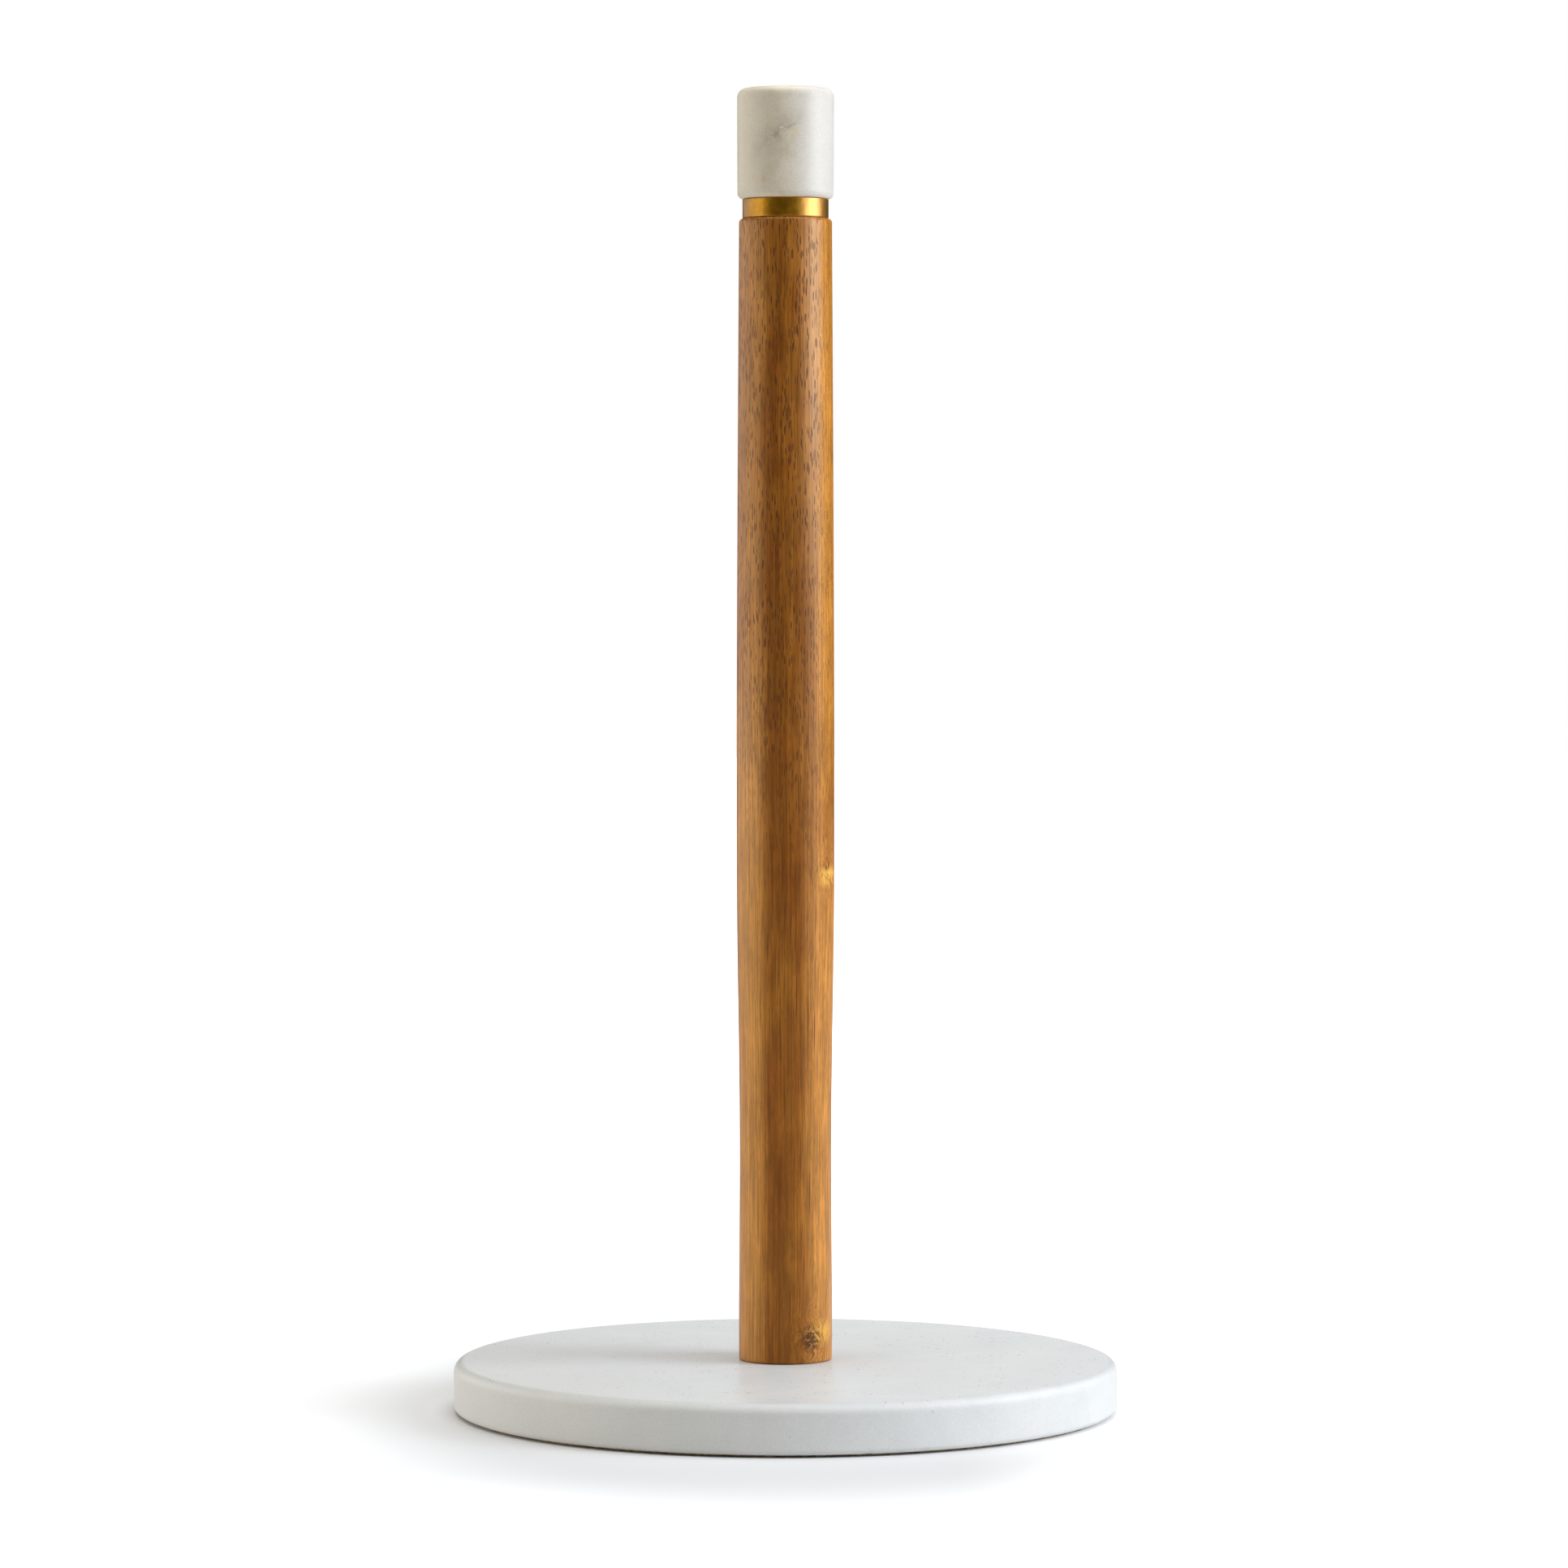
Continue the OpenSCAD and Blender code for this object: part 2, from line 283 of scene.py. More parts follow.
def make_ring():
    """The brass ring, its outer edges eased by polishing."""
    edge = 0.3 * MM
    outline = [(ring_bore_r, ring_z + edge / 2), (ring_bore_r + edge / 2, ring_z)]
    outline += arc(ring_r - edge, ring_z + edge, edge, -90, 0, 4)
    outline += [(ring_r, z) for z in steps(ring_z + 2 * edge, ring_top - 2 * edge, 6)]
    outline += arc(ring_r - edge, ring_top - edge, edge, 0, 90, 4)
    outline += [(ring_bore_r + edge / 2, ring_top), (ring_bore_r, ring_top - edge / 2)]
    return lathe("brass_ring", outline, closed=True)


def make_knob():
    """The stone knob, a little narrower at the bottom, with its bore from beneath."""
    angles = circle(240)
    top_fillet, bottom_fillet, edge = 2.4 * MM, 1.6 * MM, 0.4 * MM
    narrow, sway, pole_r = 0.06 * MM, 0.04 * MM, 1 * MM
    wall_z, wall_h = knob_z + 2 * MM, knob_top - knob_z - 5 * MM
    bore_top = stud_top + 1.5 * MM
    bore_side_r = insert_bore_r + 5 * MM
    outline = [(insert_bore_r, bore_top), (insert_bore_r, knob_z + edge)]
    outline += [(r, knob_z) for r in steps(insert_bore_r + edge, knob_r - bottom_fillet - edge, 8)]
    outline += arc(knob_r - narrow - bottom_fillet, knob_z + bottom_fillet, bottom_fillet, -90, 0)
    outline += [(knob_r - narrow * (1 - t), wall_z + t * wall_h) for t in steps(0, 1, 16)]
    outline += arc(knob_r - top_fillet, knob_top - top_fillet, top_fillet, 0, 90, 12)
    outline += [(r, knob_top) for r in steps(knob_r - top_fillet - edge, pole_r, 10)]
    uneven = ripple(angles, 6, sway, 21) - sway
    rings = [ring_points(r + (uneven if r > bore_side_r else 0), z, angles) for r, z in outline]
    return skin("marble_knob", rings)


def make_washer(name, z, top, outer_r, edge):
    """A flat washer with its edges eased."""
    outline = [(washer_bore_r, z + edge), (washer_bore_r + edge, z)]
    outline += arc(outer_r - edge, z + edge, edge, -90, 0, 3)
    outline += arc(outer_r - edge, top - edge, edge, 0, 90, 3)
    outline += [(washer_bore_r + edge, top), (washer_bore_r, top - edge)]
    return lathe(name, outline, sides=96, closed=True)


def make_spring_washer():
    """A split ring, its two ends standing a little apart."""
    split, edge = math.radians(6), 0.15 * MM
    inner, outer, low, high = washer_bore_r, spring_r, spring_z, spring_top
    section = [(inner + edge, low), (outer - edge, low), (outer, low + edge), (outer, high - edge)]
    section += [(outer - edge, high), (inner + edge, high), (inner, high - edge), (inner, low + edge)]
    r, z = np.array(section).T
    rings = []
    for a in steps(TAU - split, split, 72):
        rings.append(np.stack([r * math.cos(a), r * math.sin(a), z], axis=1))
    return skin("spring_washer_split", rings)


def make_bolt():
    """A button head bolt with a hex socket and a rolled thread."""
    angles = circle(96)
    key, socket_depth, crown_r, rim_h, bevel = 4 * MM, 2 * MM, 3 * MM, 0.8 * MM, 0.1 * MM
    drill_share, drill_h, mouth_r, mouth_h = 0.4, 0.4 * MM, 2.25 * MM, 0.15 * MM
    neck_h, thread_z, tip = 0.8 * MM, head_top + 1.2 * MM, 0.8 * MM
    hexagon = hexagon_r(angles, key)
    socket_floor = bolt_z + socket_depth
    rings = [ring_points(hexagon * drill_share, socket_floor + drill_h, angles)]
    rings += [ring_points(hexagon, z, angles) for z in (socket_floor, bolt_z + mouth_h)]
    rings += [ring_points(np.maximum(hexagon, mouth_r) + bevel, bolt_z, angles)]
    rings += [ring_points(crown_r, bolt_z, angles)]
    dome_h = head_top - bolt_z - rim_h
    dome_z = (head_r**2 - crown_r**2 + dome_h**2) / (2 * dome_h)
    dome_r = math.hypot(dome_z, crown_r)
    for z in steps(0, dome_h, 10)[1:]:
        rings.append(ring_points(math.sqrt(dome_r**2 - (dome_z - z) ** 2), bolt_z + z, angles))
    rings += [ring_points(head_r, head_top - bevel, angles), ring_points(head_r - bevel, head_top, angles)]
    rings += [ring_points(stud_r, z, angles) for z in (head_top, head_top + neck_h)]
    rings += threaded_rings(angles, thread_z, bolt_top - tip)
    rings += [ring_points(rod_tip_r, bolt_top, angles)]
    return skin("button_head_bolt", rings)


def make_stud():
    """The threaded stud, chamfered at both tips."""
    angles = circle(96)
    tip = 0.7 * MM
    rings = [ring_points(rod_tip_r, stud_z, angles)]
    rings += threaded_rings(angles, stud_z + tip, stud_top - tip)
    rings += [ring_points(rod_tip_r, stud_top, angles)]
    return skin("stud_rod", rings)


def insert_ridge(angles, z, mouth, end):
    """Radius of an insert's coarse outside thread, which fades out at both ends."""
    ridge_pitch, sharpness, mouth_gap, end_gap = 2.5 * MM, 2.2, 0.3, 0.2
    fade = min(1, abs(z - mouth) / MM - mouth_gap, abs(end - z) / MM - end_gap)
    phase = (z / ridge_pitch - angles / TAU) % 1
    blade = np.clip(1 - abs(2 * phase - 1) * sharpness, 0, 1)
    return insert_core_r + (insert_r - insert_core_r) * fade * blade


def make_insert(name, mouth, end):
    """A threaded insert: hex mouth, inside thread, and a coarse outside thread that holds in the wood."""
    angles = circle(96)
    down = math.copysign(1, end - mouth)
    key, key_depth, edge = 6.5 * MM, 3 * MM, 0.3 * MM
    hexagon = hexagon_r(angles, key)
    floor = mouth + down * key_depth
    rings = [ring_points(insert_core_r - edge, mouth, angles)]
    for z in steps(mouth + down * edge, end - down * edge, 90):
        rings.append(ring_points(insert_ridge(angles, z, mouth, end), z, angles))
    rings.append(ring_points(insert_core_r - edge, end, angles))
    rings.append(ring_points(insert_bore_r + edge, end, angles))
    for z in steps(end - down * edge, floor, 100):
        rings.append(ring_points(thread_r(angles, z, insert_bore_r + thread_depth), z, angles))
    rings.append(ring_points(hexagon, floor, angles))
    rings.append(ring_points(hexagon, mouth + down * edge / 2, angles))
    rings.append(ring_points(hexagon + edge / 2, mouth, angles))
    return skin(name, rings if down > 0 else rings[::-1], closed=True)


# ---------------------------------------------------------------- shader building
class Shader:
    """A material's node tree. Each method adds nodes and returns the output socket."""

    def __init__(self, name):
        self.material = bpy.data.materials.new(name)
        self.material.use_nodes = True
        self.tree = self.material.node_tree
        self.surface = self.tree.nodes["Principled BSDF"]
        self.place = self.node("ShaderNodeTexCoord", output="Object")

    def put(self, socket, value):
        """Links a socket, or sets its own value."""
        if isinstance(value, bpy.types.NodeSocket):
            self.tree.links.new(value, socket)
        else:
            socket.default_value = value

    def node(self, kind, inputs=(), output=0, **settings):
        """A new node with its inputs and settings. Returns one of its outputs."""
        made = self.tree.nodes.new(kind)
        for key, value in settings.items():
            setattr(made, key, value)
        for key, value in dict(inputs).items():
            self.put(made.inputs[key], value)
        return made.outputs[output]

    def set(self, **values):
        """Sets the surface's own sockets, named with _ for a space."""
        for key, value in values.items():
            self.put(self.surface.inputs[key.replace("_", " ")], value)

    def math(self, operation, a, b):
        return self.node("ShaderNodeMath", {0: a, 1: b}, operation=operation)

    def times(self, first, *others):
        for value in others:
            first = self.math("MULTIPLY", first, value)
        return first

    def plus(self, a, b):
        return self.math("ADD", a, b)

    def minus(self, a, b):
        return self.math("SUBTRACT", a, b)

    def larger(self, a, b):
        return self.math("MAXIMUM", a, b)

    def off(self, a, b):
        """How far a is from b, either way."""
        return self.math("ABSOLUTE", self.minus(a, b), 0)

    def vector_math(self, operation, a, b, output=0):
        return self.node("ShaderNodeVectorMath", {0: a, 1: b}, output, operation=operation)

    def stretch(self, where, x, y, z):
        return self.vector_math("MULTIPLY", where, (x, y, z))

    def upright(self, where, z):
        """Coordinates squeezed along the grain, so that noise is drawn out 1 / z times."""
        return self.stretch(where, 1, 1, z)

    def shift(self, where, by):
        return self.vector_math("ADD", where, by)

    def along(self, where, direction):
        """How far a point is along a direction."""
        return self.vector_math("DOT_PRODUCT", where, direction, "Value")

    def distance(self, where, point=(0, 0, 0)):
        return self.vector_math("DISTANCE", where, point, "Value")

    def height(self, where):
        return self.node("ShaderNodeSeparateXYZ", {0: where}, "Z")

    def noise(self, where, size, detail=2.0, rough=0.5, output=0):
        """Cloudy noise with features about size across."""
        inputs = {"Vector": where, "Scale": 1 / size, "Detail": detail, "Roughness": rough}
        return self.node("ShaderNodeTexNoise", inputs, output)

    def sway(self, where, size):
        """Cloudy noise as a vector, centred on 0."""
        return self.shift(self.noise(where, size, output=1), (-0.5, -0.5, -0.5))

    def cells(self, where, size, output="Distance", feature="F1"):
        inputs = {"Vector": where, "Scale": 1 / size}
        return self.node("ShaderNodeTexVoronoi", inputs, output, feature=feature)

    def ease(self, value, low, high, start=0.0, end=1.0):
        """start below low, end above high, smooth between them."""
        inputs = {"Value": value, "From Min": low, "From Max": high, "To Min": start, "To Max": end}
        return self.node("ShaderNodeMapRange", inputs, interpolation_type="SMOOTHSTEP")

    def ramp(self, value, stops):
        """Colours along a value, from (position, colour) pairs."""
        out = self.node("ShaderNodeValToRGB", {0: value})
        elements = out.node.color_ramp.elements
        while len(elements) < len(stops):
            elements.new(0.5)
        for element, (position, colour) in zip(elements, stops):
            element.position = position
            element.color = (*colour, 1)
        return out

    def mix(self, amount, a, b, how="MIX"):
        """Colour a, with an amount of colour b. Each is a socket or (red, green, blue)."""
        a, b = [(*c, 1) if isinstance(c, tuple) else c for c in (a, b)]
        return self.node("ShaderNodeMix", {0: amount, 6: a, 7: b}, 2, data_type="RGBA", blend_type=how)

    def shade(self, colour, amount):
        """Multiplies a colour by a grey amount."""
        grey = self.node("ShaderNodeCombineColor", {0: amount, 1: amount, 2: amount})
        return self.mix(1.0, colour, grey, "MULTIPLY")

    def bump(self, height, distance, strength=1.0, normal=None):
        inputs = {"Height": height, "Distance": distance, "Strength": strength}
        if normal is not None:
            inputs["Normal"] = normal
        return self.node("ShaderNodeBump", inputs)

    def warped(self, where, size, amount):
        """Coordinates pushed about by noise."""
        push = 2 * amount
        return self.shift(where, self.stretch(self.sway(where, size), push, push, push))

    def near(self, point, inner, outer, tall=1.0):
        """1 close to a point, 0 outside, in a field stretched tall times along the grain."""
        flat = self.upright(self.shift(self.place, -point), 1 / tall)
        return self.ease(self.distance(flat), inner, outer, 1, 0)


# ---------------------------------------------------------------- materials
# Lengths and heights are in metres, and colours are linear red, green and blue.
def around(azimuth, radius, z):
    """A point at an angle round from the camera's side, in degrees."""
    turn = math.radians(azimuth)
    return Vector((math.sin(turn) * radius, -math.cos(turn) * radius, z))


# The two knots on the post, and the golden patch beside each.
HIGH_KNOT, LOW_KNOT = around(57, 0.013, post_z + 133.4 * MM), around(34, 0.0125, post_z + 6.8 * MM)
HIGH_GLOW, LOW_GLOW = around(64, 0.013, post_z + 130 * MM), around(54, 0.0125, post_z + 8.4 * MM)


def acacia_grain(s):
    """Coordinates that drift along the grain and curl round the two knots."""
    swirl = s.larger(s.near(HIGH_KNOT, 0.001, 0.006, 2), s.near(LOW_KNOT, 0.002, 0.008, 1.6))
    drift = s.stretch(s.sway(s.upright(s.place, 0.4), 0.022), 0.0016, 0.0016, 0)
    curl = s.stretch(s.sway(s.place, 0.0045), 0.0060, 0.0060, 0.008)
    curl = s.node("ShaderNodeVectorMath", {0: curl, "Scale": swirl}, operation="SCALE")
    return s.shift(s.shift(s.place, drift), curl)


def acacia_heartwood(s, grain):
    """Brown bands along the grain, some of them redder."""
    bands = s.noise(s.upright(grain, 0.18), 0.0050, 3, 0.55)
    colour = s.ramp(bands, [
        (0.30, (0.335, 0.107, 0.0110)),
        (0.46, (0.420, 0.145, 0.0170)),
        (0.60, (0.505, 0.195, 0.0280)),
        (0.74, (0.580, 0.240, 0.0410)),
    ])
    ruddy = s.ease(s.noise(s.upright(grain, 0.12), 0.0032, 2), 0.50, 0.68)
    ruddy_brown = (0.42, 0.125, 0.0165)
    return s.mix(s.times(ruddy, 0.35), colour, ruddy_brown)


def strip(s, wander, direction, sway, inner, outer):
    """1 on the side of the post that faces a direction, with an edge that wanders."""
    return s.ease(s.plus(s.along(s.place, direction), s.times(wander, sway)), inner, outer)


def acacia_sapwood(s, colour, height, wander, left, right):
    """Paler strips down the sides, a painted highlight high on the right, painted shade down the middle
    that faces the camera and a lower half painted yellower.
    """
    left_tan, right_orange = (0.770, 0.350, 0.0950), (0.640, 0.255, 0.0340)
    low_tan, highlight_pink = (0.780, 0.355, 0.1150), (0.680, 0.310, 0.1050)
    dull, bounce_offset_yellow = (0.74, 0.68, 0.55), (1.05, 1.0, 0.68)
    colour = s.mix(s.times(left, 0.9), colour, left_tan)
    colour = s.mix(s.times(right, 0.8), colour, right_orange)
    lower = strip(s, wander, (0.85, -0.53, 0), 0.003, 0.0095, 0.0122)
    lower = s.times(lower, s.ease(height, 0.12, 0.18, 0.55, 0))
    colour = s.mix(lower, colour, low_tan)
    # Painted highlight: a pinkish-tan patch high on the right, where the key light reflects, stronger
    # towards the top.
    painted_highlight = s.ease(s.distance(s.upright(s.place, 0), around(31, 0.0125, 0)), 0.0010, 0.0042, 1, 0)
    painted_highlight = s.times(painted_highlight, s.ease(height, 0.205, 0.285, 0.1, 0.8))
    colour = s.mix(painted_highlight, colour, highlight_pink)
    # Painted shade: the middle of the post, which faces the camera between the side lights, is darkened.
    painted_shade_middle = strip(s, wander, (0.08, -1, 0), 0.0016, 0.0096, 0.0122)
    colour = s.mix(painted_shade_middle, colour, dull, "MULTIPLY")
    # Painted tint: the lower half is made yellower to offset the bluish light that the marble base bounces
    # onto it.
    return s.mix(s.ease(height, 0.11, 0.21, 1, 0), colour, bounce_offset_yellow, "MULTIPLY")


def acacia_pores(s, grain, upper, left, right):
    """Short pores mostly in the upper half and long ones mostly in the lower, fewer on the pale strips."""
    short = s.ease(s.cells(s.upright(grain, 0.16), 0.00060), 0.31, 0.39, 1, 0)
    crowd = s.ease(s.noise(s.upright(grain, 0.4), 0.0036, 2), 0.36, 0.54, 0.5, 1)
    short = s.times(crowd, upper(0.25, 1), short)
    long = s.ease(s.cells(s.upright(grain, 0.022), 0.00072), 0.17, 0.24, 1, 0)
    crowd = s.ease(s.noise(s.upright(grain, 0.15), 0.0035, 2), 0.40, 0.58, 0.35, 1)
    long = s.times(crowd, upper(0.85, 0.35), long)
    pores = s.larger(short, long)
    pores = s.times(pores, s.minus(1.0, s.times(right, 0.5)))
    return s.times(pores, s.minus(1.0, s.times(left, 0.6)))


def acacia_knots(s, grain, colour):
    """A golden glow beside each knot, and its dark core. Returns the colour and the core."""
    gold, black = (1.0, 0.52, 0.090), (0.060, 0.016, 0.0035)
    ragged = s.noise(s.upright(grain, 0.4), 0.0012, 3, 0.6)
    high_glow, low_glow = s.near(HIGH_GLOW, 0.0020, 0.0064, 0.6), s.near(LOW_GLOW, 0.0010, 0.0058, 0.8)
    glow = s.times(s.larger(high_glow, s.times(low_glow, 0.85)), s.ease(ragged, 0.38, 0.52))
    colour = s.mix(s.times(glow, 0.95), colour, gold)
    core = s.larger(s.near(HIGH_KNOT, 0.0006, 0.0022, 1.2), s.near(LOW_KNOT, 0.0014, 0.0044, 1.2))
    core = s.times(core, s.ease(s.noise(s.place, 0.0011, 3, 0.7), 0.44, 0.50))
    return s.mix(s.times(core, 0.9), colour, black), core


def acacia_material():
    """Oiled acacia: brown heartwood, tan and orange sapwood, dark pores along the grain, two knots."""
    s = Shader("acacia")
    grain = acacia_grain(s)
    height = s.height(s.place)
    wander = s.minus(s.noise(s.upright(s.place, 0.15), 0.010, 3, 0.5), 0.5)
    left = strip(s, wander, (-0.82, -0.57, 0), 0.0014, 0.0099, 0.0124)
    left = s.times(left, s.ease(height, 0.165, 0.215, 0.68, 0.2))
    right = strip(s, wander, (0.966, -0.259, 0), 0.003, 0.0101, 0.0112)
    right = s.times(right, s.ease(height, 0.15, 0.20, 0.2, 1))

    def upper(start, end):
        """start in the lower half of the post, end in the upper half."""
        return s.ease(height, 0.12, 0.21, start, end)

    colour = acacia_heartwood(s, grain)
    colour = acacia_sapwood(s, colour, height, wander, left, right)
    streaks = s.noise(s.upright(grain, 0.055), 0.0012, 3, 0.6)
    colour = s.shade(colour, s.ease(streaks, 0.34, 0.62, 0.90, 1.06))
    fibres = s.noise(s.upright(grain, 0.012), 0.00042, 2, 0.6)
    colour = s.shade(colour, s.ease(fibres, 0.38, 0.62, 0.78, 1.14))
    figure = s.noise(s.upright(grain, 0.5), 0.0055, 2, 0.5)
    colour = s.shade(colour, s.ease(figure, 0.35, 0.62, 1.10, 0.93))
    pores = acacia_pores(s, grain, upper, left, right)
    pore_brown, cream = (0.145, 0.042, 0.007), (0.85, 0.52, 0.20)
    colour = s.mix(s.times(pores, 0.95), colour, pore_brown)
    dots = s.ease(s.cells(s.upright(s.place, 0.8), 0.0007), 0.12, 0.24, 1, 0)
    dots = s.times(right, upper(0, 1), dots)
    colour = s.mix(s.times(dots, 0.5), colour, cream)
    colour, core = acacia_knots(s, grain, colour)

    s.set(Base_Color=colour, Roughness=s.ease(streaks, 0.3, 0.7, 0.33, 0.43), Specular_IOR_Level=0.6)
    s.set(Specular_Tint=(1.0, 0.76, 0.50, 1))
    relief = s.minus(s.times(fibres, 0.3), s.larger(pores, core))
    s.set(Normal=s.bump(relief, 0.00006, 0.5))
    return s.material


def stone_sugar(s):
    """The fine crystal speckle of marble, from 0 to 1."""
    return s.noise(s.place, 0.00045, 2, 0.7)


def base_marble_material():
    """Cool white marble with faint clouds, small pits and a few dark and rust specks. Painted light and
    shade: a darker top face, a warmer left front and a left-to-right brightening.
    """
    s = Shader("base_marble")
    p = s.place
    rough = s.warped(p, 0.002, 0.0006)
    cloud = s.noise(s.warped(p, 0.05, 0.012), 0.020, 5, 0.6)
    colour = s.ramp(cloud, [
        (0.30, (0.800, 0.812, 0.790)),
        (0.48, (0.850, 0.852, 0.830)),
        (0.70, (0.895, 0.885, 0.860)),
    ])
    cream, cool = (0.865, 0.845, 0.780), (0.835, 0.850, 0.862)
    pit_grey, speck_brown, rust_brown = (0.36, 0.345, 0.31), (0.22, 0.19, 0.15), (0.50, 0.28, 0.11)
    # Painted light tint: the left front, on the warm fill light's side, is tinted cream.
    warm = s.ease(s.along(p, (-0.8, -0.6, 0)), 0.035, 0.09)
    colour = s.mix(s.times(warm, 0.6), colour, cream)
    # Painted shade: the top face is darkened and cooled against the sides. The same mask keeps the pits to
    # the top face.
    top = s.ease(s.height(p), slab_top - 1.5 * MM, slab_top)
    colour = s.mix(top, colour, cool, "MULTIPLY")
    # Painted light and shade: the slab darkens towards the left and brightens towards the right, where the
    # key light is.
    colour = s.shade(colour, s.ease(s.along(p, (1, 0, 0)), -0.09, 0.06, 0.955, 1.02))
    sugar = stone_sugar(s)
    colour = s.shade(colour, s.ease(sugar, 0.3, 0.75, 0.95, 1.03))
    pits = s.ease(s.noise(s.stretch(p, 1, 0.28, 1), 0.0009, 2, 0.6), 0.60, 0.66)
    pits = s.times(pits, s.ease(s.noise(p, 0.012, 3, 0.6), 0.48, 0.60, 0.08, 1))
    colour = s.mix(s.times(s.times(top, 0.45), pits), colour, pit_grey)
    specks = s.ease(s.cells(s.stretch(rough, 1, 0.5, 1), 0.021), 0.012, 0.024, 1, 0)
    colour = s.mix(s.times(specks, 0.5), colour, speck_brown)
    rust = s.ease(s.cells(rough, 0.013), 0.022, 0.045, 1, 0)
    colour = s.mix(s.times(rust, 0.65), colour, rust_brown)
    s.set(Base_Color=colour, Roughness=s.ease(cloud, 0.3, 0.7, 0.285, 0.34), Specular_IOR_Level=0.08)
    s.set(Normal=s.bump(sugar, 0.00001, 0.4))
    return s.material


def knob_vein(s, colour, local):
    """A soft grey-brown smear up the knob to the right, with a thin broken line in it."""
    smear_brown, line_brown = (0.46, 0.40, 0.31), (0.33, 0.27, 0.20)
    broken = s.noise(s.warped(local, 0.003, 0.001), 0.0022, 4, 0.65)
    wide = s.off(s.along(s.warped(local, 0.006, 0.0020), (-0.645, 0, 0.764)), 0.0030)
    ends = s.ease(s.distance(local, around(-10, knob_r, 0.002)), 0.006, 0.012, 1, 0)
    smear = s.times(ends, s.ease(broken, 0.3, 0.62, 0.4, 1), s.ease(wide, 0, 0.0042, 1, 0))
    colour = s.mix(s.times(smear, 0.34), colour, smear_brown)
    thin = s.off(s.along(s.warped(local, 0.004, 0.0008), (-0.49, 0, 0.87)), 0.0027)
    ends = s.ease(s.distance(local, around(-5, knob_r, 0.0024)), 0.0032, 0.0056, 1, 0)
    line = s.times(ends, s.ease(broken, 0.36, 0.6), s.ease(thin, 0.0001, 0.0009, 1, 0))
    return s.mix(s.times(line, 0.36), colour, line_brown)


def knob_crystal(s, colour):
    """A pale crystal, shaped like a tilted lens, with a dim rim."""
    rim_grey, pale = (0.36, 0.31, 0.25), (0.95, 0.94, 0.90)
    spot = s.shift(s.warped(s.place, 0.001, 0.0003), -around(-5, knob_r, knob_top - 11.3 * MM))
    tilt = {"Vector": spot, "Angle": math.radians(20)}
    spot = s.node("ShaderNodeVectorRotate", tilt, rotation_type="Y_AXIS")
    spot = s.distance(s.stretch(spot, 0.36, 0.36, 1))
    colour = s.mix(s.ease(spot, 0.0003, 0.0005, 0.35, 0), colour, rim_grey)
    return s.mix(s.ease(spot, 0.00016, 0.00034, 0.75, 0), colour, pale)


def knob_marble_material():
    """Warm white marble with one soft diagonal grey-brown vein."""
    s = Shader("knob_marble")
    p = s.place
    local = s.shift(p, (0, 0, -(knob_z + knob_top) / 2))
    cloud = s.noise(s.warped(local, 0.012, 0.004), 0.0075, 5, 0.6)
    colour = s.ramp(cloud, [
        (0.32, (0.730, 0.630, 0.460)),
        (0.50, (0.845, 0.735, 0.565)),
        (0.68, (0.900, 0.815, 0.660)),
    ])
    left_cream, painted_grey_right, ochre_tan = (0.790, 0.720, 0.585), (0.750, 0.712, 0.668), (0.80, 0.52, 0.20)
    left = s.ease(s.along(p, (-0.9, -0.43, 0)), 0.006, 0.012)
    colour = s.mix(s.times(left, 0.6), colour, left_cream)
    # Painted shade: the right side, towards the key light, is made greyer to hold down its brightness.
    right = s.ease(s.along(p, (0.9, -0.43, 0)), 0.004, 0.012)
    colour = s.mix(s.times(right, 0.8), colour, painted_grey_right)
    colour = knob_vein(s, colour, local)
    colour = knob_crystal(s, colour)
    low_ochre = s.near(around(-27, knob_r, knob_z + 4.6 * MM), 0.0002, 0.0009, 1.4)
    high_ochre = s.near(around(11, knob_r, knob_top - 12.6 * MM), 0.0004, 0.0018, 1.4)
    colour = s.mix(s.plus(s.times(low_ochre, 0.5), s.times(high_ochre, 0.22)), colour, ochre_tan)
    sugar = stone_sugar(s)
    colour = s.shade(colour, s.ease(sugar, 0.35, 0.65, 0.95, 1.03))
    s.set(Base_Color=colour, Roughness=s.ease(cloud, 0.3, 0.7, 0.34, 0.42), Specular_IOR_Level=0.25)
    s.set(Normal=s.bump(sugar, 0.00002, 0.4))
    return s.material


def brass_material():
    """Satin brass, brushed round the ring, a little tarnished and faintly dented. Painted shade darkens its
    left side and a painted highlight tint colours its right.
    """
    s = Shader("satin_brass")
    p = s.place
    brush = s.noise(s.stretch(p, 0.05, 0.05, 1), 0.00008, 3, 0.6)
    tarnish = s.noise(p, 0.004, 3, 0.6)
    colour = s.ramp(tarnish, [
        (0.38, (0.50, 0.225, 0.006)),
        (0.58, (0.66, 0.318, 0.018)),
    ])
    # Painted shade: darker towards the left side of the ring.
    colour = s.shade(colour, s.ease(s.along(p, (-0.95, -0.3, 0)), 0.0075, 0.0115, 1, 0.55))
    # Painted highlight tint: the right side, where the key light reflects, gets a duller, less saturated
    # colour.
    key_highlight_tint = (0.56, 0.275, 0.060)
    colour = s.mix(s.ease(s.along(p, (1, 0, 0)), 0.002, 0.006), colour, key_highlight_tint)
    s.set(Base_Color=colour, Metallic=1.0, Roughness=s.ease(brush, 0.3, 0.7, 0.37, 0.47))
    s.set(Coat_Weight=0.4, Coat_Roughness=0.3)
    dents = s.bump(s.noise(s.upright(p, 0.7), 0.0022, 2, 0.5), 0.00008, 1.0)
    s.set(Normal=s.bump(brush, 0.00001, 0.5, dents))
    return s.material


